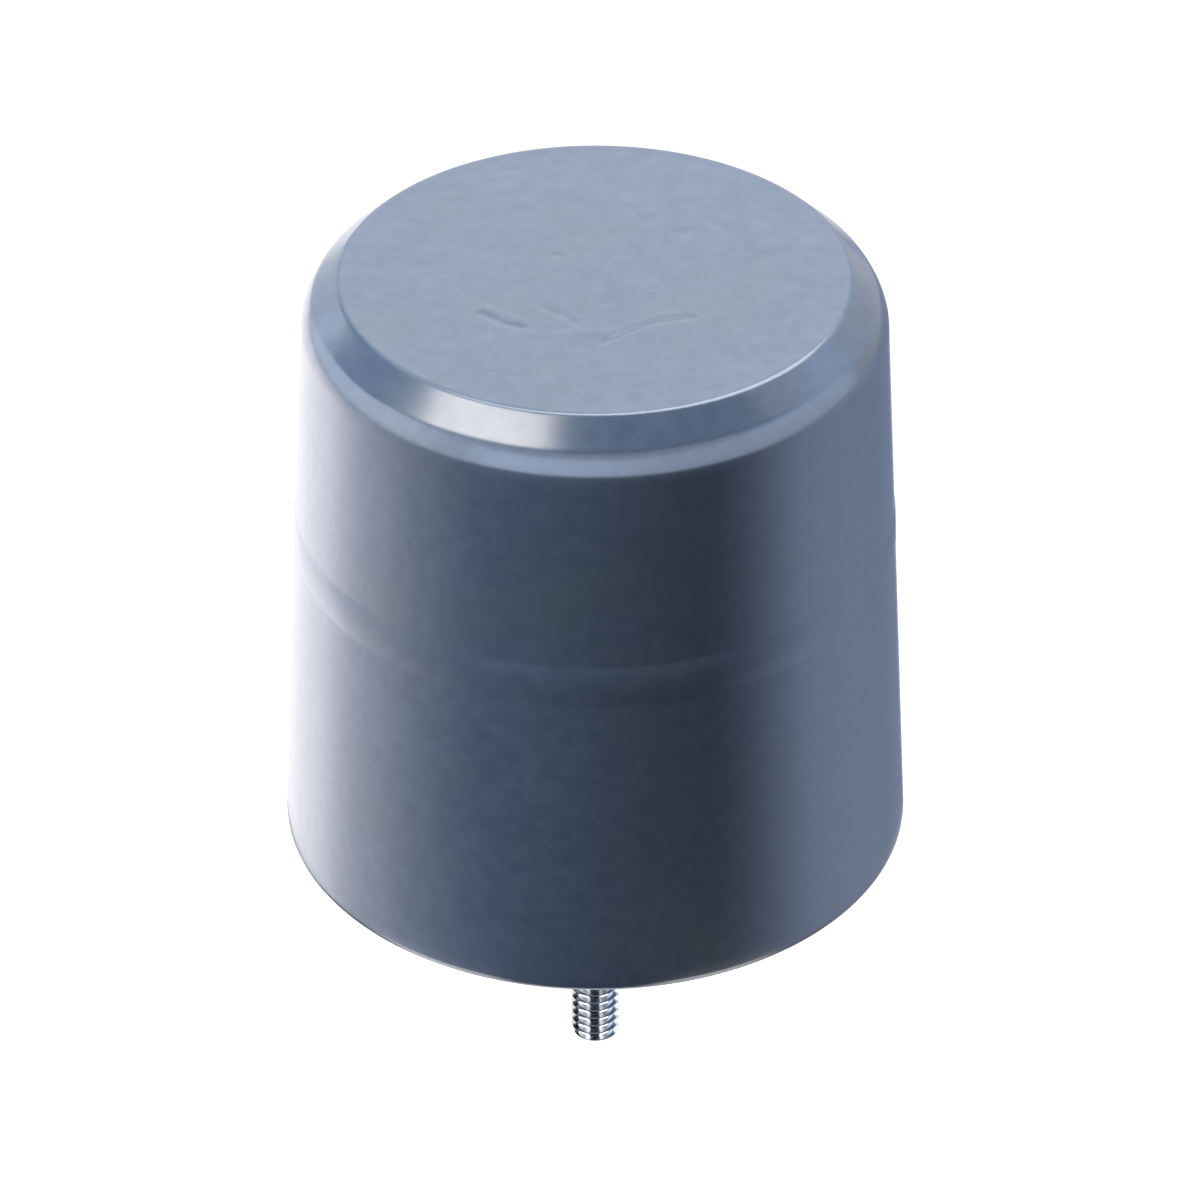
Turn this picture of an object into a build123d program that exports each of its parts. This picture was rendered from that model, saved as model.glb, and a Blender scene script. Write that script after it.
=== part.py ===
from build123d import *

import os
from math import cos, radians, sqrt, tan

# Polyurethane bumper: a tapered block cast round a steel plate and a threaded stud.
# The origin is the centre of the seat face. +Z points at the striking face, and the stud stands out along -Z.

# Block
base_diameter = 80.0
body_height = 80.0
side_draft_deg = 3.1
base_edge_radius = 1.2

# Shoulder round the striking face: a small edge round, a flat chamfer, then a crowned rim
face_edge_radius = 0.6
chamfer_width = 3.3
chamfer_drop = 3.1
rim_inset = 1.35
rim_drop = 3.1
rim_crown = 0.18

# Low belt where the two halves of the mould met
belt_level = 45.0
belt_height = 5.0
belt_proud = 0.15
belt_lead = 0.6

# Anchor plate, wholly inside the block
plate_diameter = 50.0
plate_thickness = 3.0
plate_cover = 4.0
plate_edge_chamfer = 0.4
key_hole_count = 6
key_hole_diameter = 8.0
key_circle_diameter = 34.0
stud_hole_clearance = 0.2

# Stud: a quarter inch across, twenty threads to the inch, with a hexagon head on the plate
stud_diameter = 6.35
stud_reach = 38.1
thread_pitch = 1.27
# The neck inside the block has the diameter of the blank that the thread is rolled on
neck_diameter = 5.5
head_across_flats = 11.1
head_height = 4.0
head_corner_chamfer = 0.5

# Worked out from the sizes above
base_radius = base_diameter / 2
draft = tan(radians(side_draft_deg))
rim_foot_level = body_height - chamfer_drop - rim_drop
rim_top_level = body_height - chamfer_drop
plate_top = plate_cover + plate_thickness
stud_radius = stud_diameter / 2
# Depth of a 60 degree thread with flattened crests and roots
thread_depth = thread_pitch * 5 / 8 * sqrt(3) / 2


def side_radius(level):
    """Radius of the tapered side at a level above the seat face."""
    return base_radius - level * draft


def block_outline():
    """Half section of the block, from the seat face up to the striking face."""
    rim_foot = (side_radius(rim_foot_level), rim_foot_level)
    rim_top = (rim_foot[0] - rim_inset, rim_top_level)
    face_edge = (rim_top[0] - chamfer_width, body_height)

    # The rim bulges out from the middle of its chord, square to it
    chord = Vector(rim_top) - Vector(rim_foot)
    outward = Vector(chord.Y, -chord.X).normalized()
    rim_middle = (Vector(rim_foot) + Vector(rim_top)) / 2 + outward * rim_crown

    belt_low = belt_level - belt_height / 2
    belt_high = belt_level + belt_height / 2
    belt = [
        (side_radius(belt_low), belt_low),
        (side_radius(belt_low + belt_lead) + belt_proud, belt_low + belt_lead),
        (side_radius(belt_high - belt_lead) + belt_proud, belt_high - belt_lead),
        (side_radius(belt_high), belt_high),
    ]

    with BuildSketch(Plane.XZ) as outline:
        with BuildLine():
            Polyline((0, 0), (base_radius, 0), *belt, rim_foot)
            ThreePointArc(rim_foot, tuple(rim_middle)[:2], rim_top)
            Polyline(rim_top, face_edge, (0, body_height), (0, 0))
        make_face()
        base_corner = outline.vertices().filter_by(at_point((base_radius, 0)))
        fillet(base_corner, base_edge_radius)
        face_corner = outline.vertices().filter_by(at_point(face_edge))
        fillet(face_corner, face_edge_radius)
    return outline.sketch


def at_point(place):
    """A test for the corner of the half section at (radius, level)."""
    return lambda corner: abs(corner.X - place[0]) < 1e-6 and abs(corner.Z - place[1]) < 1e-6


def anchor_plate():
    """Round steel plate with the stud's hole in the middle and a ring of holes that the block keys through."""
    plate = Pos(0, 0, plate_cover) * extrude(Circle(plate_diameter / 2), plate_thickness)
    plate = chamfer(plate.edges().filter_by(GeomType.CIRCLE), plate_edge_chamfer)
    key_hole = Cylinder(key_hole_diameter / 2, 3 * plate_thickness)
    for place in PolarLocations(key_circle_diameter / 2, key_hole_count):
        plate -= Pos(0, 0, plate_cover) * place * key_hole
    return plate - Cylinder(stud_radius + stud_hole_clearance, 3 * plate_top)


def threaded_stud():
    """Headed stud. The shank has the thread's outer diameter, and its tip is chamfered to the thread's root."""
    # The thread stands free up to the seat face, and runs out on a cone just inside the block
    run_out = (stud_diameter - neck_diameter) / 2
    shank = Pos(0, 0, -stud_reach) * extrude(Circle(stud_radius), stud_reach + run_out)
    tip = shank.edges().filter_by(GeomType.CIRCLE).sort_by(Axis.Z)[0]
    shank = chamfer(tip, thread_depth)
    thread_end = shank.edges().filter_by(GeomType.CIRCLE).sort_by(Axis.Z)[-1]
    shank = chamfer(thread_end, run_out)
    shank += extrude(Circle(neck_diameter / 2), plate_top)

    head = extrude(RegularPolygon(head_across_flats / 2, 6, major_radius=False), head_height)
    # A chamfered round blank takes the sharp corners off the top of the hexagon
    corner_radius = head_across_flats / 2 / cos(radians(30))
    blank = extrude(Circle(corner_radius), head_height)
    top_edge = blank.edges().filter_by(GeomType.CIRCLE).sort_by(Axis.Z)[-1]
    head &= chamfer(top_edge, head_corner_chamfer)
    return shank + Pos(0, 0, plate_top) * head


def polyurethane_body(plate, stud):
    """Tapered block with the shape of the steel left out of it, so that it grips the plate, its holes and the head."""
    return revolve(block_outline(), Axis.Z) - plate - stud


def main():
    os.makedirs("parts", exist_ok=True)
    plate = anchor_plate()
    stud = threaded_stud()
    body = polyurethane_body(plate, stud)
    export_step(body, "parts/polyurethane_body.step")
    export_step(plate, "parts/anchor_plate.step")
    export_step(stud, "parts/threaded_stud.step")


main()
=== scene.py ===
import logging
import math
from dataclasses import dataclass, field
from enum import Enum

import bpy
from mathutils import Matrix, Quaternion, Vector


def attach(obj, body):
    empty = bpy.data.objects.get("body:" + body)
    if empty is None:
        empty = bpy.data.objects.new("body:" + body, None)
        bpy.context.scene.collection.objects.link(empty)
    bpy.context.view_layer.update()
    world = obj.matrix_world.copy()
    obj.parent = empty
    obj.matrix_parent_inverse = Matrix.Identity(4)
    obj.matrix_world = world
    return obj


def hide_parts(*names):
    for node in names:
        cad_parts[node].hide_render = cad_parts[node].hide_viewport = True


# Looks of a cast polyurethane bumper: a tapered block with a steel plate inside it, and a threaded stud
# that stands out of its base. Everything is in metres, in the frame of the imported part: the seat face is
# at level 0, the striking face is up and the stud points down.

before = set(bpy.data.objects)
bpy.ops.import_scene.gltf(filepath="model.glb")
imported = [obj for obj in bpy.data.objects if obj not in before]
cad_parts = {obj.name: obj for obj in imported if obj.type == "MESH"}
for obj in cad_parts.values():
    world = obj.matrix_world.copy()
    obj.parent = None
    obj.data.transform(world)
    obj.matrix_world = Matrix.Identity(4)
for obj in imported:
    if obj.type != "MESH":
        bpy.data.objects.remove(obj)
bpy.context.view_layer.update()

log = logging.getLogger("bumper")

MM = 0.001
# Points that are nearer to each other than this are one
WELD = 0.001 * MM
# Points that are nearer to a cutting plane than this lie on it
ON_PLANE = 1e-7
# Edges sharper than this stay corners when a piece is shaded smooth
CORNER_DEG = 30

# A point of a half section: its radius and its level
Point = tuple[float, float]
Colour = tuple[float, float, float, float]

WHITE: Colour = (1.0, 1.0, 1.0, 1.0)


class Slot(Enum):
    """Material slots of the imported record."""

    POLYURETHANE = "polyurethane"
    ZINC_PLATED_STEEL = "zinc_plated_steel"


class Trim(Enum):
    """Which side of a level plane a cut takes away."""

    ABOVE = "above"
    BELOW = "below"


class Cut(Enum):
    """What a Boolean modifier does with its tool."""

    TAKE_AWAY = "DIFFERENCE"
    JOIN = "UNION"
    KEEP_COMMON = "INTERSECT"


# ---------------------------------------------------------------- small tools


def linear(hex_colour: str) -> Colour:
    """Turns an sRGB hex colour to the linear one that a shader takes.

    Args:
        hex_colour: Six hex digits after a hash, such as "#5A6980".

    Returns:
        Red, green, blue and an alpha of 1.
    """
    channels = [int(hex_colour[i : i + 2], 16) / 255 for i in (1, 3, 5)]
    red, green, blue = (c / 12.92 if c <= 0.04045 else ((c + 0.055) / 1.055) ** 2.4 for c in channels)
    return (red, green, blue, 1.0)


def direction(azimuth_deg: float, elevation_deg: float) -> Vector:
    """A direction from the block: azimuth 0 is the camera's side and 90 is to its right."""
    turn, rise = math.radians(azimuth_deg), math.radians(elevation_deg)
    return Vector((math.sin(turn) * math.cos(rise), -math.cos(turn) * math.cos(rise), math.sin(rise)))


def add_node(
    tree: bpy.types.NodeTree,
    kind: str,
    settings: dict[str, object] | None = None,
    values: dict[str, object] | None = None,
    links: dict[str, bpy.types.NodeSocket] | None = None,
) -> bpy.types.Node:
    """Adds one node to a tree.

    Args:
        tree: The node tree.
        kind: The node's type name.
        settings: Properties of the node itself.
        values: Constants for its input sockets, by name, or by "#index" where several have one name.
        links: Sockets to join to its inputs, named in the same way.

    Returns:
        The new node.
    """
    node = tree.nodes.new(kind)
    for name, value in (settings or {}).items():
        setattr(node, name, value)
    for name, value in (values or {}).items():
        node.inputs[int(name[1:]) if name[0] == "#" else name].default_value = value
    for name, source in (links or {}).items():
        tree.links.new(source, node.inputs[int(name[1:]) if name[0] == "#" else name])
    return node


def select_only(piece: bpy.types.Object) -> None:
    """Makes a piece the only selected object, and the active one.

    Args:
        piece: The object to select.
    """
    bpy.ops.object.select_all(action="DESELECT")
    piece.select_set(True)
    bpy.context.view_layer.objects.active = piece


def place_in_mesh(piece: bpy.types.Object) -> None:
    """Moves a piece's place, turn and scale into its mesh."""
    select_only(piece)
    bpy.ops.object.transform_apply(location=True, rotation=True, scale=True)


def merged_copy(node: bpy.types.Object, name: str) -> bpy.types.Object:
    """Copies a CAD node and closes the seams between its loose triangles.

    Args:
        node: The CAD node.
        name: Name of the copy.

    Returns:
        A closed copy with a mesh of its own.
    """
    copy = bpy.data.objects.new(name, node.data.copy())
    bpy.context.scene.collection.objects.link(copy)
    copy.data.materials.clear()
    select_only(copy)
    bpy.ops.object.mode_set(mode="EDIT")
    bpy.ops.mesh.customdata_custom_splitnormals_clear()
    bpy.ops.mesh.select_all(action="SELECT")
    bpy.ops.mesh.remove_doubles(threshold=WELD)
    bpy.ops.object.mode_set(mode="OBJECT")
    return copy


def trim_level(piece: bpy.types.Object, level: float, side: Trim) -> None:
    """Cuts a piece along a level plane and closes the cut with a face.

    Args:
        piece: The piece to cut.
        level: Height of the plane.
        side: The side that goes.
    """
    select_only(piece)
    bpy.ops.object.mode_set(mode="EDIT")
    bpy.ops.mesh.select_all(action="SELECT")
    bpy.ops.mesh.bisect(
        plane_co=(0, 0, level),
        plane_no=(0, 0, 1),
        use_fill=True,
        clear_outer=side is Trim.ABOVE,
        clear_inner=side is Trim.BELOW,
        threshold=ON_PLANE,
    )
    bpy.ops.mesh.select_all(action="DESELECT")
    bpy.ops.object.mode_set(mode="OBJECT")


def cut_with(piece: bpy.types.Object, tool: bpy.types.Object, cut: Cut) -> None:
    """Applies a Boolean of a tool to a piece and deletes the tool.

    Args:
        piece: The piece that changes.
        tool: The closed shape that it is cut or joined with.
        cut: What the Boolean does.
    """
    select_only(piece)
    modifier = piece.modifiers.new("cut", "BOOLEAN")
    modifier.object = tool
    modifier.operation = cut.value
    modifier.solver = "EXACT"
    bpy.ops.object.modifier_apply(modifier=modifier.name)
    bpy.data.objects.remove(tool)


def smooth_except_corners(piece: bpy.types.Object, corner_deg: float) -> None:
    """Shades a piece smooth, and leaves edges sharper than an angle as corners."""
    select_only(piece)
    bpy.ops.object.shade_smooth_by_angle(angle=math.radians(corner_deg))


def rounded_corner(before: Point, corner: Point, after: Point, radius: float, steps: int) -> list[Point]:
    """Rounds a corner of a half section.

    Args:
        before: A point on the line that comes to the corner.
        corner: The corner itself.
        after: A point on the line that leaves it.
        radius: Radius of the round.
        steps: Number of straight steps in the round.

    Returns:
        The points of the round, from the first line to the second.
    """
    tip = Vector(corner)
    back, ahead = (Vector(before) - tip).normalized(), (Vector(after) - tip).normalized()
    half = back.angle(ahead) / 2
    centre = tip + (back + ahead).normalized() * radius / math.sin(half)
    reach = radius / math.tan(half)
    return arc_points(centre, tip + back * reach, tip + ahead * reach, steps)


def crowned_band(foot: Point, top: Point, crown: float, steps: int) -> list[Point]:
    """Gives a band between two points of a half section a bulge.

    Args:
        foot: Lower end of the band.
        top: Upper end of the band.
        crown: How far the middle stands out from the straight line.
        steps: Number of straight steps in the band.

    Returns:
        The points of the band, both ends among them.
    """
    chord = Vector(top) - Vector(foot)
    outward = Vector((chord.y, -chord.x)).normalized()
    radius = ((chord.length / 2) ** 2 + crown**2) / (2 * crown)
    centre = Vector(foot) + chord / 2 + outward * (crown - radius)
    return arc_points(centre, Vector(foot), Vector(top), steps)


def arc_points(centre: Vector, start: Vector, end: Vector, steps: int) -> list[Point]:
    """Spaces points along an arc.

    Args:
        centre: Centre of the arc.
        start: Its first point.
        end: Its last point.
        steps: Number of straight steps in it.

    Returns:
        The points, both ends among them.
    """
    first, last = (start - centre).normalized(), (end - centre).normalized()
    radius = (start - centre).length
    return [tuple(centre + first.slerp(last, i / steps) * radius) for i in range(steps + 1)]


# ---------------------------------------------------------------- finishes


@dataclass(frozen=True)
class PolyurethaneSkin:
    """Cast polyurethane elastomer, slate blue, with the glossy skin that a polished mould leaves."""

    name: str = "cast_polyurethane_skin"
    colour: str = "#5E6E87"
    deeper_colour: str = "#51617A"
    # Thin blooms where release agent dried on the skin: a little greener and paler
    bloom_colour: str = "#66757F"
    # How much of the colour the thickest bloom hides
    bloom_cover: float = 0.36
    # A bloom starts where the clouds' noise passes the first value, and is thickest from the second on
    bloom_span: tuple[float, float] = (0.52, 0.72)
    roughness: float = 0.22
    roughness_spread: float = 0.04
    ior: float = 1.5
    specular: float = 1.0
    # Clouds of deeper colour where the pour ran together, about 14 mm across
    cloud: float = 14 * MM
    # Mottling of the skin, about 2.2 mm across, and its share in how deep the colour is
    mottle: float = 2.2 * MM
    mottle_share: float = 0.55
    # The colour is plain where the noise is below the first value, and deepest from the second on
    depth_span: tuple[float, float] = (0.36, 0.64)
    # The mould's polish marks, about 0.9 mm apart and drawn 0.004 mm deep
    polish: float = 0.9 * MM
    polish_depth: float = 0.004 * MM
    # Slow unevenness of the skin from shrinkage, about 9 mm across and 0.02 mm deep
    sink: float = 9 * MM
    sink_depth: float = 0.02 * MM

    def material(self) -> bpy.types.Material:
        """Builds the material: a gloss over slate blue, broken up by clouds, mottling and polish marks.

        Returns:
            The finished material.
        """
        made = bpy.data.materials.new(self.name)
        made.use_nodes = True
        tree = made.node_tree
        shader = tree.nodes["Principled BSDF"]
        shader.inputs["IOR"].default_value = self.ior
        shader.inputs["Specular IOR Level"].default_value = self.specular
        place = add_node(tree, "ShaderNodeTexCoord").outputs["Object"]
        grown = {
            size: add_node(
                tree,
                "ShaderNodeTexNoise",
                values={"Scale": 1 / size, "Detail": detail},
                links={"Vector": place},
            ).outputs["Fac"]
            for size, detail in ((self.cloud, 3.0), (self.mottle, 3.0), (self.sink, 1.0), (self.polish, 2.0))
        }
        # Clouds and mottling together say how deep the colour is
        spread = add_node(
            tree,
            "ShaderNodeMix",
            {"data_type": "FLOAT"},
            {"#0": self.mottle_share},
            {"#2": grown[self.cloud], "#3": grown[self.mottle]},
        )
        plain, deepest = self.depth_span
        depth = add_node(
            tree,
            "ShaderNodeMapRange",
            values={"From Min": plain, "From Max": deepest},
            links={"Value": spread.outputs[0]},
        )
        colour = add_node(
            tree,
            "ShaderNodeMix",
            {"data_type": "RGBA"},
            {"#6": linear(self.colour), "#7": linear(self.deeper_colour)},
            {"#0": depth.outputs["Result"]},
        )
        first, thickest = self.bloom_span
        bloom = add_node(
            tree,
            "ShaderNodeMapRange",
            values={"From Min": first, "From Max": thickest, "To Min": 0.0, "To Max": self.bloom_cover},
            links={"Value": grown[self.cloud]},
        )
        bloomed = add_node(
            tree,
            "ShaderNodeMix",
            {"data_type": "RGBA"},
            {"#7": linear(self.bloom_colour)},
            {"#0": bloom.outputs["Result"], "#6": colour.outputs[2]},
        )
        gloss = add_node(
            tree,
            "ShaderNodeMapRange",
            values={
                "To Min": self.roughness - self.roughness_spread,
                "To Max": self.roughness + self.roughness_spread,
            },
            links={"Value": spread.outputs[0]},
        )
        slow = add_node(
            tree,
            "ShaderNodeBump",
            values={"Strength": 1.0, "Distance": self.sink_depth},
            links={"Height": grown[self.sink]},
        )
        fine = add_node(
            tree,
            "ShaderNodeBump",
            values={"Strength": 1.0, "Distance": self.polish_depth},
            links={"Height": grown[self.polish], "Normal": slow.outputs["Normal"]},
        )
        tree.links.new(bloomed.outputs[2], shader.inputs["Base Color"])
        tree.links.new(gloss.outputs["Result"], shader.inputs["Roughness"])
        tree.links.new(fine.outputs["Normal"], shader.inputs["Normal"])
        return made


@dataclass(frozen=True)
class SteelFinish:
    """A steel surface, either bright zinc plated or plain from the mill."""

    name: str
    colour: str
    worn_colour: str
    roughness: float
    roughness_spread: float
    # Size of the finish's own grain, and how deep it is drawn
    grain: float
    grain_depth: float

    def material(self) -> bpy.types.Material:
        """Builds the material: a metal with fine grain and slightly uneven gloss.

        Returns:
            The finished material.
        """
        made = bpy.data.materials.new(self.name)
        made.use_nodes = True
        tree = made.node_tree
        shader = tree.nodes["Principled BSDF"]
        shader.inputs["Metallic"].default_value = 1.0
        place = add_node(tree, "ShaderNodeTexCoord").outputs["Object"]
        grain = add_node(
            tree,
            "ShaderNodeTexNoise",
            values={"Scale": 1 / self.grain, "Detail": 4.0},
            links={"Vector": place},
        )
        colour = add_node(
            tree,
            "ShaderNodeMix",
            {"data_type": "RGBA"},
            {"#6": linear(self.colour), "#7": linear(self.worn_colour)},
            {"#0": grain.outputs["Fac"]},
        )
        gloss = add_node(
            tree,
            "ShaderNodeMapRange",
            values={
                "To Min": self.roughness - self.roughness_spread,
                "To Max": self.roughness + self.roughness_spread,
            },
            links={"Value": grain.outputs["Fac"]},
        )
        bump = add_node(
            tree,
            "ShaderNodeBump",
            values={"Strength": 1.0, "Distance": self.grain_depth},
            links={"Height": grain.outputs["Fac"]},
        )
        tree.links.new(colour.outputs[2], shader.inputs["Base Color"])
        tree.links.new(gloss.outputs["Result"], shader.inputs["Roughness"])
        tree.links.new(bump.outputs["Normal"], shader.inputs["Normal"])
        return made


# Bright zinc with a clear passivate: a mirror-like grey with a cold blue cast
BRIGHT_ZINC = SteelFinish(
    "bright_zinc_plated_steel",
    colour="#E2E6EA",
    worn_colour="#CFD6DF",
    roughness=0.14,
    roughness_spread=0.04,
    grain=0.35 * MM,
    grain_depth=0.0008 * MM,
)
# Hot-rolled sheet, pickled and oiled: dull grey with a coarse grain
HOT_ROLLED = SteelFinish(
    "hot_rolled_pickled_steel",
    colour="#8A8A88",
    worn_colour="#74736F",
    roughness=0.42,
    roughness_spread=0.1,
    grain=0.8 * MM,
    grain_depth=0.01 * MM,
)


# ---------------------------------------------------------------- moulded block


@dataclass(frozen=True)
class Mark:
    """A shallow mark in the skin of the striking face."""

    # Points of its line, right and back from the middle of the face
    line: tuple[Point, ...]
    half_width: float
    # How deep it goes; a ridge has a negative depth
    depth: float
    # How fast it fades away from its line, and how many half widths off it ends
    fade: float = 1.5
    reach: float = 2.5

    def depth_at(self, x: float, y: float) -> float:
        """Depth of the mark at a place on the face, falling off smoothly from its line.

        Args:
            x: Place to the right of the middle.
            y: Place to the back of the middle.

        Returns:
            Depth in metres, 0 beyond the mark.
        """
        here = Vector((x, y))
        away = math.inf
        for start, end in zip(self.line, self.line[1:] or self.line):
            first, run = Vector(start), Vector(end) - Vector(start)
            share = (here - first).dot(run) / run.length_squared if run.length_squared else 0.0
            away = min(away, (here - first - run * min(max(share, 0.0), 1.0)).length)
        ratio = away / self.half_width
        return self.depth * math.exp(-(ratio**2) * self.fade) if ratio < self.reach else 0.0


@dataclass
class MouldedBlock:
    """The tapered polyurethane block, turned about the part's axis."""

    base_radius: float = 40 * MM
    height: float = 80 * MM
    draft_deg: float = 3.1
    base_round: float = 1.2 * MM
    base_round_steps: int = 6
    face_round: float = 1.0 * MM
    face_round_steps: int = 5
    chamfer_width: float = 3.3 * MM
    chamfer_drop: float = 3.1 * MM
    # Where the rings of the chamfer lie, as shares of the way up it
    chamfer_rings: tuple[float, ...] = (0.08, 0.3, 0.55, 0.8)
    rim_inset: float = 1.35 * MM
    rim_drop: float = 3.1 * MM
    rim_crown: float = 0.18 * MM
    rim_crown_steps: int = 12
    belt_level: float = 45 * MM
    belt_height: float = 5 * MM
    belt_proud: float = 0.10 * MM
    belt_lead: float = 0.6 * MM
    # A ring this far off each edge of the belt keeps the side straight up to it
    belt_margin: float = 0.5 * MM
    # The fine line where the rim's ring met the mould's barrel
    parting_depth: float = 0.03 * MM
    parting_width: float = 0.3 * MM
    # A low meniscus that the pour left round the edge of the striking face
    meniscus: float = 0.06 * MM
    meniscus_width: float = 1.3 * MM
    # Below 1, it is steepest at its outer edge
    meniscus_power: float = 0.7
    segments: int = 400
    # Widest steps between the rings of the side and of the striking face
    side_step: float = 2 * MM
    face_step: float = 0.4 * MM
    finish: PolyurethaneSkin = PolyurethaneSkin()
    marks: list[Mark] = field(default_factory=list)
    piece: bpy.types.Object | None = None

    def side_radius(self, level: float) -> float:
        """Radius of the tapered side at a level above the seat face."""
        return self.base_radius - level * math.tan(math.radians(self.draft_deg))

    def on_side(self, level: float, proud: float = 0.0) -> Point:
        """A point on the side, or as far out from it as proud says."""
        return (self.side_radius(level) + proud, level)

    def run(self, start: float, end: float) -> list[Point]:
        """Evenly spaced points up the side between two levels, the first left out."""
        steps = max(1, round((end - start) / self.side_step))
        return [self.on_side(start + (end - start) * i / steps) for i in range(1, steps + 1)]

    def outline(self) -> list[Point]:
        """Half section of the block, from the seat face's edge up to the striking face's edge.

        Returns:
            The points in order.
        """
        rim_foot = self.on_side(self.height - self.chamfer_drop - self.rim_drop)
        rim_top = (rim_foot[0] - self.rim_inset, self.height - self.chamfer_drop)
        face_edge = (rim_top[0] - self.chamfer_width, self.height)
        belt_low, belt_high = self.belt_level - self.belt_height / 2, self.belt_level + self.belt_height / 2

        base_corner = (self.base_radius, 0)
        points = rounded_corner(
            (0, 0), base_corner, self.on_side(self.height), self.base_round, self.base_round_steps
        )
        points += self.run(points[-1][1], belt_low - self.belt_margin)
        points += [self.on_side(belt_low), self.on_side(belt_low + self.belt_lead, self.belt_proud)]
        points += [self.on_side(self.belt_level, self.belt_proud)]
        points += [self.on_side(belt_high - self.belt_lead, self.belt_proud), self.on_side(belt_high)]
        points += [self.on_side(belt_high + self.belt_margin)]
        # The side's rings end three widths short of the parting line, which has rings of its own
        points += self.run(belt_high + self.belt_margin, rim_foot[1] - 3 * self.parting_width)
        points += [self.on_side(rim_foot[1] - self.parting_width)]
        points += [self.on_side(rim_foot[1], -self.parting_depth)]
        points += crowned_band(rim_foot, rim_top, self.rim_crown, self.rim_crown_steps)[1:]
        chamfer = Vector(face_edge) - Vector(rim_top)
        points += [tuple(Vector(rim_top) + chamfer * share) for share in self.chamfer_rings]
        points += rounded_corner(rim_top, face_edge, (0, self.height), self.face_round, self.face_round_steps)
        return points

    def raise_wall(self) -> None:
        """Draws the seat face up into the block, ring by ring along the outline."""
        points = self.outline()
        bpy.ops.object.select_all(action="DESELECT")
        bpy.ops.mesh.primitive_circle_add(
            vertices=self.segments, radius=points[0][0], fill_type="NGON", location=(0, 0, points[0][1])
        )
        self.piece = bpy.context.active_object
        self.piece.name = self.piece.data.name = "moulded_block"
        bpy.ops.object.mode_set(mode="EDIT")
        for (radius, level), (next_radius, next_level) in zip(points, points[1:]):
            bpy.ops.mesh.extrude_region_move(TRANSFORM_OT_translate={"value": (0, 0, next_level - level)})
            ratio = next_radius / radius
            bpy.ops.transform.resize(value=(ratio, ratio, 1), center_override=(0, 0, next_level))
        self.fill_face(points[-1][0])
        bpy.ops.mesh.select_all(action="SELECT")
        bpy.ops.mesh.remove_doubles(threshold=WELD)
        bpy.ops.mesh.normals_make_consistent(inside=False)
        bpy.ops.object.mode_set(mode="OBJECT")

    def fill_face(self, radius: float) -> None:
        """Insets the striking face into fine rings that can hold its marks, and closes it at the middle.

        Args:
            radius: Radius of the face's flat part.
        """
        rings = round(radius / self.face_step) - 1
        for _ in range(rings):
            bpy.ops.mesh.inset(thickness=radius / (rings + 1), depth=0)
        bpy.ops.mesh.poke()

    def press_marks(self) -> None:
        """Presses the marks and the meniscus into the striking face with a Displace modifier."""
        mesh = self.piece.data
        edge = self.outline()[-1][0]
        sunk = self.piece.vertex_groups.new(name="sunk")
        # Marks may cross, so the deepest place can be two marks deep
        deepest = self.meniscus + max(abs(mark.depth) for mark in self.marks) * 2
        for vertex in mesh.vertices:
            x, y, z = vertex.co
            if z < self.height - WELD:
                continue
            inside = edge - math.hypot(x, y)
            depth = self.meniscus * min(1.0, max(0.0, inside / self.meniscus_width)) ** self.meniscus_power
            if inside > self.meniscus_width:
                depth += sum(mark.depth_at(x, y) for mark in self.marks)
            sunk.add([vertex.index], max(0.0, depth) / deepest, "REPLACE")
        select_only(self.piece)
        modifier = self.piece.modifiers.new("marks", "DISPLACE")
        modifier.direction = "Z"
        modifier.mid_level = 0.0
        modifier.strength = -deepest
        modifier.vertex_group = sunk.name
        bpy.ops.object.modifier_apply(modifier=modifier.name)
        self.piece.vertex_groups.clear()

    def hollow_out(self, *cores: bpy.types.Object) -> None:
        """Takes the steel's shape out of the block.

        Args:
            cores: Closed copies of what is cast in.
        """
        for core in cores:
            cut_with(self.piece, core, Cut.TAKE_AWAY)

    def build(self) -> bpy.types.Object:
        """Models the block, with the space for its steel, and dresses it.

        Returns:
            The finished piece.
        """
        self.raise_wall()
        self.press_marks()
        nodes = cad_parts
        self.hollow_out(
            merged_copy(nodes["anchor_plate"], "plate_core"), merged_copy(nodes["threaded_stud"], "stud_core")
        )
        smooth_except_corners(self.piece, CORNER_DEG)
        self.piece.data.materials.append(self.finish.material())
        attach(self.piece, "root")
        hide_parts("polyurethane_body")
        return self.piece


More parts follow.
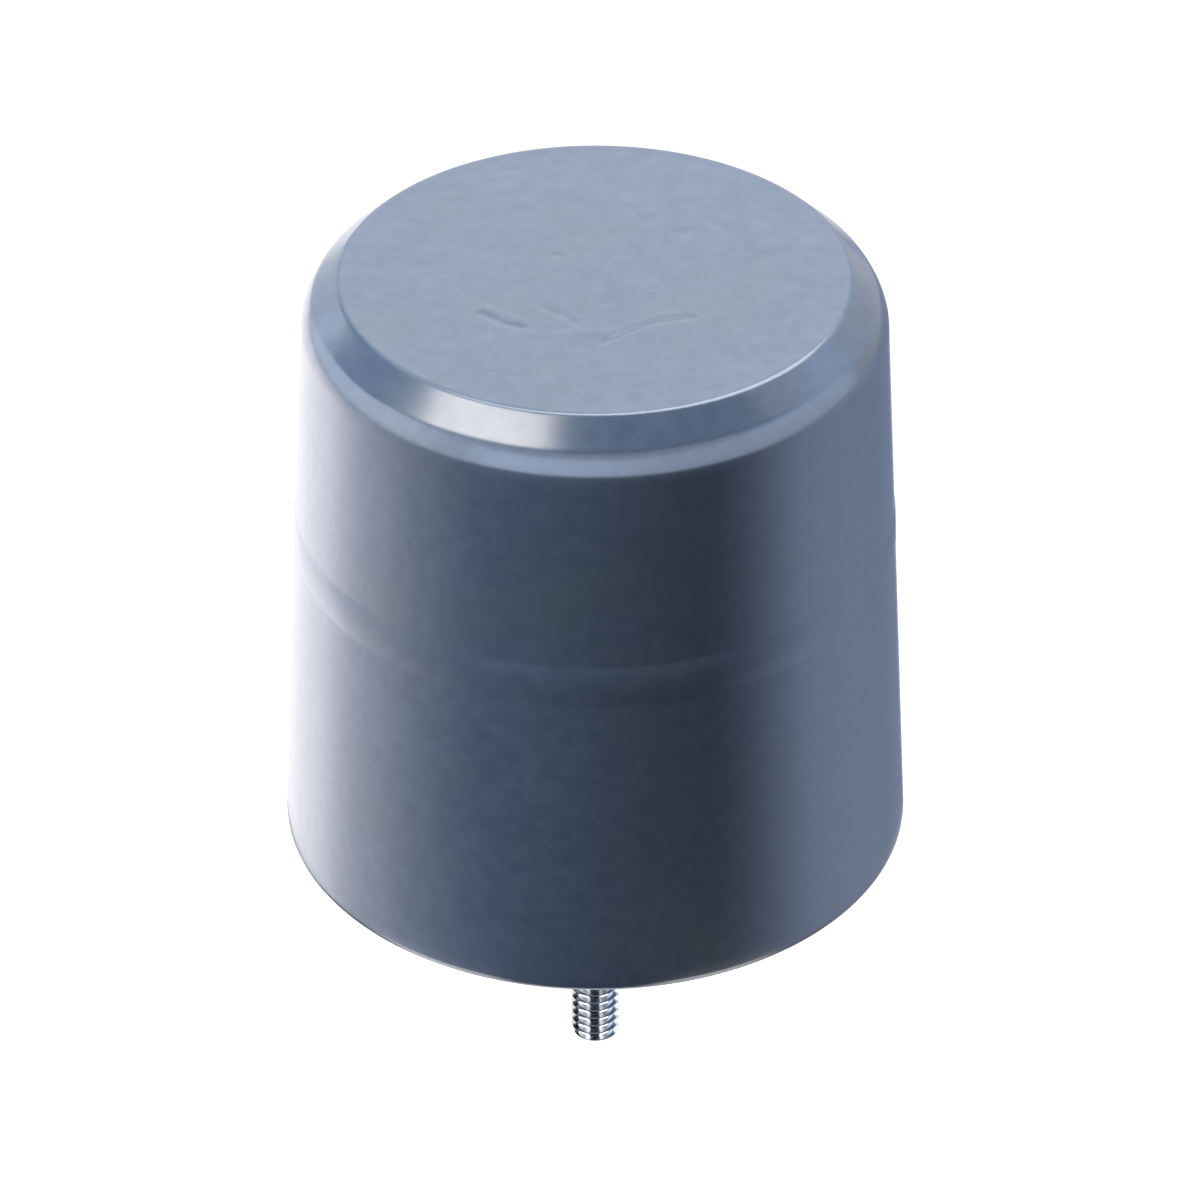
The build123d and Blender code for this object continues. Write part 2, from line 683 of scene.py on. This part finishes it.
def face_marks() -> list[Mark]:
    """The creases and small swellings of the striking face's skin, in a broken ring round its middle.

    Returns:
        The marks, with hollows and ridges.
    """

    def line(*points: Point) -> tuple[Point, ...]:
        """Turns points in millimetres to metres."""
        return tuple((x * MM, y * MM) for x, y in points)

    # The line of each mark, its half width and its depth
    return [
        Mark(line((-13.9, -8.7), (-10.9, -11.2), (-8.7, -12.1)), 0.55 * MM, 0.17 * MM),
        Mark(line((-13.1, -7.5), (-10.8, -9.2), (-8.7, -10.5)), 0.80 * MM, -0.07 * MM),
        Mark(line((-6.1, -7.5), (-4.3, -8.9), (-2.2, -11.1)), 0.65 * MM, 0.10 * MM),
        Mark(line((-4.3, -13.6), (-1.3, -13.4), (1.7, -12.7)), 0.80 * MM, -0.07 * MM),
        Mark(
            line((0.8, -15.4), (3.5, -13.4), (6.6, -11.1), (9.2, -10.2), (12.0, -9.7)), 0.55 * MM, 0.14 * MM
        ),
        Mark(line((1.6, -13.9), (4.5, -11.6), (7.5, -9.6), (11.0, -8.5)), 0.80 * MM, -0.06 * MM),
        Mark(line((-4.7, 4.6), (-4.4, 4.7)), 0.6 * MM, 0.12 * MM),
        Mark(line((14.1, 13.0), (17.1, 9.2), (19.7, 4.2), (19.1, 1.6), (18.4, -0.5)), 1.2 * MM, 0.08 * MM),
        Mark(line((10.7, 10.1), (11.4, 10.3)), 1.4 * MM, 0.09 * MM),
        Mark(line((-6.9, 12.9), (-6.2, 12.7)), 1.3 * MM, -0.07 * MM),
        Mark(line((6.3, 14.9), (6.8, 15.0)), 0.9 * MM, -0.07 * MM),
        Mark(line((23.5, 7.5), (23.9, 7.2)), 0.9 * MM, -0.07 * MM),
        Mark(line((14.5, 10.6), (15.0, 10.4)), 0.8 * MM, -0.07 * MM),
        Mark(line((19.3, -15.6), (19.7, -15.4)), 0.8 * MM, -0.07 * MM),
        Mark(line((-7.8, -13.9), (-7.2, -13.8)), 0.8 * MM, -0.07 * MM),
    ]


# ---------------------------------------------------------------- stud


@dataclass
class ThreadedStud:
    """The stud with its rolled thread, neck and hexagon head."""

    radius: float = 3.175 * MM
    reach: float = 38.1 * MM
    pitch: float = 1.27 * MM
    # A little of the collar overlaps the thread where the two are joined
    overlap: float = 0.05 * MM
    # How far the blank stands clear of the thread's crests
    hair: float = 0.02 * MM
    blank_sides: int = 96
    steps_per_turn: int = 60
    # Whole turns that are wound past each end, and trimmed off
    spare_turns: int = 2
    finish: SteelFinish = BRIGHT_ZINC
    piece: bpy.types.Object | None = None

    @property
    def thread_depth(self) -> float:
        """Depth of a 60 degree thread with flattened crests and roots."""
        return self.pitch * 5 / 8 * math.sqrt(3) / 2

    def section(self) -> list[Point]:
        """One pitch of the thread's section: root flat, flank, crest flat, flank.

        Returns:
            Radius and level of each corner, from one root to the next.
        """
        root = self.radius - self.thread_depth
        # Each flank takes 5/16 of the pitch, the root's flat 1/4 and the crest's flat 1/8
        flank = self.pitch * 5 / 16
        root_flat, crest_flat = self.pitch / 4, self.pitch / 8
        return [
            (root, 0.0),
            (root, root_flat),
            (self.radius, root_flat + flank),
            (self.radius, root_flat + flank + crest_flat),
            (root, self.pitch),
        ]

    def wind_thread(self) -> None:
        """Winds the section round the axis, with turns to spare at each end, and trims it."""
        corners = self.section()
        start = -self.reach - self.spare_turns * self.pitch
        turns = math.ceil((self.reach + 2 * self.spare_turns * self.pitch) / self.pitch)
        bpy.ops.object.select_all(action="DESELECT")
        bpy.ops.mesh.primitive_plane_add(size=self.pitch, location=(0, 0, 0))
        self.piece = bpy.context.active_object
        self.piece.name = self.piece.data.name = "zinc_plated_stud"
        bpy.ops.object.mode_set(mode="EDIT")
        bpy.ops.mesh.merge(type="CENTER")
        bpy.ops.transform.translate(value=(corners[0][0], 0, start))
        for (radius, level), (next_radius, next_level) in zip(corners, corners[1:]):
            move = (next_radius - radius, 0, next_level - level)
            bpy.ops.mesh.extrude_vertices_move(TRANSFORM_OT_translate={"value": move})
        bpy.ops.object.mode_set(mode="OBJECT")
        screw = self.piece.modifiers.new("thread", "SCREW")
        screw.axis = "Z"
        screw.angle = math.tau
        screw.screw_offset = self.pitch
        screw.iterations = turns
        screw.steps = screw.render_steps = self.steps_per_turn
        bpy.ops.object.modifier_apply(modifier=screw.name)
        bpy.ops.object.mode_set(mode="EDIT")
        bpy.ops.mesh.select_all(action="SELECT")
        bpy.ops.mesh.remove_doubles(threshold=2 * WELD)
        bpy.ops.object.mode_set(mode="OBJECT")
        trim_level(self.piece, 0, Trim.ABOVE)
        trim_level(self.piece, -self.reach, Trim.BELOW)
        select_only(self.piece)
        bpy.ops.object.mode_set(mode="EDIT")
        bpy.ops.mesh.select_all(action="SELECT")
        bpy.ops.mesh.normals_make_consistent(inside=False)
        bpy.ops.object.mode_set(mode="OBJECT")

    def chamfered_blank(self) -> bpy.types.Object:
        """A plain rod a hair wider than the thread, with the tip's chamfer.

        Returns:
            The rod, for the thread to be kept inside.
        """
        length = self.reach + 2 * self.hair
        bpy.ops.object.select_all(action="DESELECT")
        bpy.ops.mesh.primitive_cylinder_add(
            vertices=self.blank_sides,
            radius=self.radius + self.hair,
            depth=length,
            location=(0, 0, 2 * self.hair - length / 2),
        )
        blank = bpy.context.active_object
        place_in_mesh(blank)
        bpy.ops.object.mode_set(mode="EDIT")
        bpy.ops.mesh.select_all(action="DESELECT")
        bpy.ops.object.mode_set(mode="OBJECT")
        tip = min(blank.data.polygons, key=lambda face: face.center.z)
        tip.select = True
        bpy.ops.object.mode_set(mode="EDIT")
        bpy.ops.mesh.bevel(offset=self.thread_depth + self.hair, segments=1, affect="EDGES")
        bpy.ops.object.mode_set(mode="OBJECT")
        return blank

    def build(self) -> bpy.types.Object:
        """Models the stud and dresses it.

        Returns:
            The finished piece.
        """
        self.wind_thread()
        cut_with(self.piece, self.chamfered_blank(), Cut.KEEP_COMMON)
        collar = merged_copy(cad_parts["threaded_stud"], "collar_and_head")
        trim_level(collar, -self.overlap, Trim.BELOW)
        cut_with(self.piece, collar, Cut.JOIN)
        smooth_except_corners(self.piece, CORNER_DEG)
        self.piece.data.materials.append(self.finish.material())
        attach(self.piece, "root")
        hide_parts("threaded_stud")
        return self.piece


# ---------------------------------------------------------------- plate


@dataclass
class AnchorPlate:
    """The plate inside the block, whose solid is kept as it is."""

    node: str = "anchor_plate"
    finish: SteelFinish = HOT_ROLLED

    def build(self) -> bpy.types.Object:
        """Dresses the plate.

        Returns:
            The plate's node.
        """
        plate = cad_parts[self.node]
        plate.data.materials.clear()
        plate.data.materials.append(self.finish.material())
        return plate


# ---------------------------------------------------------------- studio


@dataclass(frozen=True)
class SoftBox:
    """A flat soft box that faces the block's middle."""

    name: str
    azimuth_deg: float
    elevation_deg: float
    width: float
    height: float
    # Brightness of its face, where 1 is white
    strength: float
    tint: str = "#FFFFFF"
    # How far its right end is tipped up
    roll_deg: float = 0.0
    distance: float = 1.2

    def hang(self, middle: Vector) -> bpy.types.Object:
        """Hangs the soft box, unseen by the camera.

        Args:
            middle: The point that it faces.

        Returns:
            The lamp.
        """
        data = bpy.data.lights.new(self.name, "AREA")
        data.shape = "RECTANGLE"
        data.size, data.size_y = self.width, self.height
        data.energy = self.strength * math.pi * self.width * self.height
        data.color = linear(self.tint)[:3]
        lamp = bpy.data.objects.new(self.name, data)
        bpy.context.scene.collection.objects.link(lamp)
        away = direction(self.azimuth_deg, self.elevation_deg)
        lamp.location = middle + away * self.distance
        lamp.rotation_mode = "QUATERNION"
        roll = Quaternion((0, 0, 1), math.radians(self.roll_deg))
        lamp.rotation_quaternion = away.to_track_quat("Z", "Y") @ roll
        lamp.visible_camera = False
        return lamp


# The curved sheets are cut along the lines of a ball's grid, which are this many degrees apart
GRID_DEG = 5
# Elevations of the sheets that the block's side mirrors, and of those that its rim mirrors
LOW_BAND = (-60, -10)
RIM_BAND = (-5, 25)


@dataclass(frozen=True)
class Screen:
    """A curved sheet that stands round the block: a cloth lit unevenly from end to end, or a black card."""

    name: str
    # Where its two ends stand, and its foot and its head
    azimuths_deg: tuple[float, float]
    elevations_deg: tuple[float, float]
    # Brightness at some azimuths, where 1 is white; none for a black card
    glow: tuple[tuple[float, float], ...] = ()
    tint: str = "#FFFFFF"
    # A lit cloth may light the block all over, or only show in its gloss
    lights_all: bool = False
    distance: float = 1.0
    # Level of its middle, where that isn't the block's own
    level: float | None = None

    def covers(self, way: Vector) -> bool:
        """Finds out whether a direction meets the sheet.

        Args:
            way: The direction, from the middle of the ball.

        Returns:
            True where it does.
        """
        azimuth = math.degrees(math.atan2(way.x, -way.y))
        elevation = math.degrees(math.asin(way.normalized().z))
        first, last = self.azimuths_deg
        low, high = self.elevations_deg
        return first <= azimuth <= last and low <= elevation <= high

    def hang(self, middle: Vector) -> bpy.types.Object:
        """Cuts the sheet out of a ball round the block and hangs it, unseen by the camera.

        Args:
            middle: The middle of the ball.

        Returns:
            The sheet.
        """
        bpy.ops.object.select_all(action="DESELECT")
        bpy.ops.mesh.primitive_uv_sphere_add(
            segments=360 // GRID_DEG, ring_count=180 // GRID_DEG, radius=self.distance
        )
        sheet = bpy.context.active_object
        sheet.name = self.name
        sheet.location = middle if self.level is None else (middle.x, middle.y, self.level)
        for part in (*sheet.data.polygons, *sheet.data.edges, *sheet.data.vertices):
            part.select = False
        for face in sheet.data.polygons:
            face.select = not self.covers(face.center)
        bpy.ops.object.mode_set(mode="EDIT")
        bpy.ops.mesh.delete(type="FACE")
        bpy.ops.object.mode_set(mode="OBJECT")
        sheet.data.materials.append(self.cloth())
        sheet.visible_camera = sheet.visible_shadow = False
        sheet.visible_diffuse = self.lights_all
        return sheet

    def cloth(self) -> bpy.types.Material:
        """Builds the sheet's material: a glow that runs softly from azimuth to azimuth, or black.

        Returns:
            The material.
        """
        made = bpy.data.materials.new(self.name)
        made.use_nodes = True
        tree = made.node_tree
        shader = tree.nodes["Principled BSDF"]
        shader.inputs["Base Color"].default_value = linear("#000000")
        shader.inputs["Specular IOR Level"].default_value = 0.0
        if not self.glow:
            return made
        place = add_node(tree, "ShaderNodeTexCoord").outputs["Object"]
        parts = add_node(tree, "ShaderNodeSeparateXYZ", links={"Vector": place})
        ahead = add_node(
            tree, "ShaderNodeMath", {"operation": "MULTIPLY"}, {"#1": -1.0}, {"#0": parts.outputs["Y"]}
        )
        turn = add_node(
            tree,
            "ShaderNodeMath",
            {"operation": "ARCTAN2"},
            links={"#0": parts.outputs["X"], "#1": ahead.outputs["Value"]},
        )
        first, last = (math.radians(end) for end in self.azimuths_deg)
        share = add_node(
            tree,
            "ShaderNodeMapRange",
            values={"From Min": first, "From Max": last},
            links={"Value": turn.outputs["Value"]},
        )
        ramp = add_node(tree, "ShaderNodeValToRGB", links={"Fac": share.outputs["Result"]})
        brightest = max(strength for _, strength in self.glow)
        # A new ramp has two stops, and the first knot of the glow takes over the one that is kept
        stops = ramp.color_ramp.elements
        stops.remove(stops[0])
        for index, (azimuth, strength) in enumerate(self.glow):
            spot = (math.radians(azimuth) - first) / (last - first)
            stop = stops.new(spot) if index else stops[0]
            stop.position = spot
            stop.color = tuple(c * strength / brightest for c in linear(self.tint)[:3]) + (1.0,)
        tree.links.new(ramp.outputs["Color"], shader.inputs["Emission Color"])
        shader.inputs["Emission Strength"].default_value = brightest
        return made


@dataclass
class Studio:
    """White floor, soft boxes, lit cloths and black flags in a white surround."""

    middle: Vector = field(default_factory=lambda: Vector((0, 0, 40 * MM)))
    floor_level: float = -1000 * MM
    floor_size: float = 12.0
    floor_colour: str = "#E8E8E8"
    # How much of the white that the camera sees is light of the floor's own
    floor_lift: float = 0.9
    ambient: float = 0.09
    boxes: tuple[SoftBox, ...] = (
        SoftBox(
            "key_box",
            azimuth_deg=-56,
            elevation_deg=53,
            width=0.79,
            height=0.36,
            strength=7.6,
            tint="#FFFBF0",
            roll_deg=23,
        ),
        SoftBox(
            "high_left_box",
            azimuth_deg=-120,
            elevation_deg=73,
            width=0.55,
            height=0.47,
            strength=3.9,
            tint="#F2F8FF",
        ),
        SoftBox(
            "high_right_box",
            azimuth_deg=132,
            elevation_deg=65,
            width=0.80,
            height=1.00,
            strength=5.4,
            tint="#EEF7FF",
        ),
        SoftBox("back_box", azimuth_deg=180, elevation_deg=31.5, width=0.55, height=0.71, strength=0.6),
    )
    screens: tuple[Screen, ...] = (
        Screen(
            "left_cloth",
            azimuths_deg=(-180, -30),
            elevations_deg=LOW_BAND,
            glow=(
                (-180, 1.2), (-150, 2.1), (-120, 2.8), (-100, 1.6), (-85, 1.15),
                (-70, 0.58), (-58, 0.3), (-45, 0.02), (-30, 0.0),
            ),
            tint="#FFFAFA",
            lights_all=True,
        ),
        Screen(
            "right_cloth",
            azimuths_deg=(30, 165),
            elevations_deg=LOW_BAND,
            glow=((45, 0.0), (58, 0.45), (70, 1.1), (85, 1.75), (105, 1.5), (135, 0.75), (165, 0.45)),
            tint="#C8DAFF",
        ),
        Screen(
            "left_strip",
            azimuths_deg=(-135, -45),
            elevations_deg=RIM_BAND,
            glow=((-135, 2.2), (-110, 2.4), (-90, 3.4), (-70, 3.5), (-45, 2.0)),
            tint="#E6F0FF",
            lights_all=True,
        ),
        Screen(
            "front_strip",
            azimuths_deg=(-45, 110),
            elevations_deg=RIM_BAND,
            glow=((-45, 4.0), (-20, 4.3), (0, 3.8), (20, 3.2), (45, 2.8), (70, 3.0), (110, 2.6)),
            tint="#D7E6FF",
        ),
        Screen(
            "high_side_cloth",
            azimuths_deg=(60, 135),
            elevations_deg=(25, 35),
            glow=((60, 1.0), (90, 2.1), (135, 2.4)),
            tint="#C8DCFF",
        ),
        Screen("front_flag", azimuths_deg=(-30, 30), elevations_deg=LOW_BAND),
        Screen("left_flag", azimuths_deg=(-140, -90), elevations_deg=(20, 45), distance=0.95),
        Screen("high_front_flag", azimuths_deg=(-20, 80), elevations_deg=(35, 80)),
        # Round the stud alone, under the block: it gives the thread its bright and dark streaks
        Screen(
            "stud_ring",
            azimuths_deg=(-180, 180),
            elevations_deg=(-50, -20),
            glow=(
                (-180, 1.0), (-130, 0.1), (-84, 0.1), (-76, 3.4), (-38, 3.4), (-30, 0.0),
                (18, 0.0), (26, 3.4), (58, 3.4), (66, 0.5), (130, 0.8), (180, 1.0),
            ),
            level=-30 * MM,
            distance=0.12,
        ),
    )

    def lay_floor(self) -> bpy.types.Object:
        """Lays the white floor, which keeps the object's shadow.

        Returns:
            The floor.
        """
        bpy.ops.object.select_all(action="DESELECT")
        bpy.ops.mesh.primitive_plane_add(size=self.floor_size, location=(0, 0, self.floor_level))
        floor = bpy.context.active_object
        floor.name = "studio_floor"
        made = bpy.data.materials.new("white_paper_floor")
        made.use_nodes = True
        tree = made.node_tree
        shader = tree.nodes["Principled BSDF"]
        shader.inputs["Base Color"].default_value = linear(self.floor_colour)
        shader.inputs["Roughness"].default_value = 1.0
        shader.inputs["Specular IOR Level"].default_value = 0.0
        shader.inputs["Emission Color"].default_value = WHITE
        lift = add_node(
            tree,
            "ShaderNodeMath",
            {"operation": "MULTIPLY"},
            {"#1": self.floor_lift},
            {"#0": self.seen(tree)},
        )
        tree.links.new(lift.outputs[0], shader.inputs["Emission Strength"])
        floor.data.materials.append(made)
        floor.visible_diffuse = False
        return floor

    def seen(self, tree: bpy.types.NodeTree) -> bpy.types.NodeSocket:
        """Finds out whether a ray is the camera's, a reflected or a transmitted one.

        Args:
            tree: The node tree of the material or the world.

        Returns:
            A socket that is 1 for such a ray, and 0 otherwise.
        """
        rays = add_node(tree, "ShaderNodeLightPath")
        most = {"operation": "MAXIMUM"}
        links = {"#0": rays.outputs["Is Camera Ray"], "#1": rays.outputs["Is Glossy Ray"]}
        direct = add_node(tree, "ShaderNodeMath", most, links=links)
        links = {"#0": direct.outputs[0], "#1": rays.outputs["Is Transmission Ray"]}
        return add_node(tree, "ShaderNodeMath", most, links=links).outputs[0]

    def surround(self) -> None:
        """Makes the world white where it is seen, and a low even light otherwise."""
        world = bpy.data.worlds.new("studio_surround")
        bpy.context.scene.world = world
        world.use_nodes = True
        tree = world.node_tree
        tree.nodes.clear()
        fill = add_node(tree, "ShaderNodeBackground", values={"Color": WHITE, "Strength": self.ambient})
        white = add_node(tree, "ShaderNodeBackground", values={"Color": WHITE, "Strength": 1.0})
        mix = add_node(
            tree,
            "ShaderNodeMixShader",
            links={"Fac": self.seen(tree), "#1": fill.outputs[0], "#2": white.outputs[0]},
        )
        add_node(tree, "ShaderNodeOutputWorld", links={"Surface": mix.outputs[0]})

    def set_up(self) -> None:
        """Sets up the floor, the surround, the lamps and the sheets."""
        self.lay_floor()
        self.surround()
        for item in (*self.boxes, *self.screens):
            item.hang(self.middle)
        bpy.context.scene.view_settings.view_transform = "Standard"


@dataclass(frozen=True)
class Viewpoint:
    """The camera, a long lens looking down at the block from the front."""

    target: tuple[float, float, float] = (0.61 * MM, 0.0, 31.77 * MM)
    distance: float = 0.720
    elevation_deg: float = 34.727
    lens_mm: float = 170.546
    sensor_mm: float = 36.0
    # Nearest and farthest that it sees
    clip: tuple[float, float] = (0.05, 50.0)

    def set_up(self) -> bpy.types.Object:
        """Makes the camera and gives it to the scene.

        Returns:
            The camera.
        """
        data = bpy.data.cameras.new("photo_camera")
        data.lens = self.lens_mm
        data.sensor_width = self.sensor_mm
        data.clip_start, data.clip_end = self.clip
        camera = bpy.data.objects.new("photo_camera", data)
        bpy.context.scene.collection.objects.link(camera)
        rise = math.radians(self.elevation_deg)
        camera.location = Vector(self.target) + Vector((0, -math.cos(rise), math.sin(rise))) * self.distance
        camera.rotation_euler = (math.pi / 2 - rise, 0, 0)
        bpy.context.scene.camera = camera
        return camera


# ---------------------------------------------------------------- making


def main() -> None:
    """Builds every piece in order, and reports each."""
    logging.basicConfig(level=logging.INFO, format="%(name)s: %(message)s")
    Viewpoint().set_up()
    for maker in (MouldedBlock(marks=face_marks()), ThreadedStud(), AnchorPlate()):
        piece = maker.build()
        log.info("%s: %d faces", piece.name, len(piece.data.polygons))
    Studio().set_up()


if __name__ == "__main__":
    main()
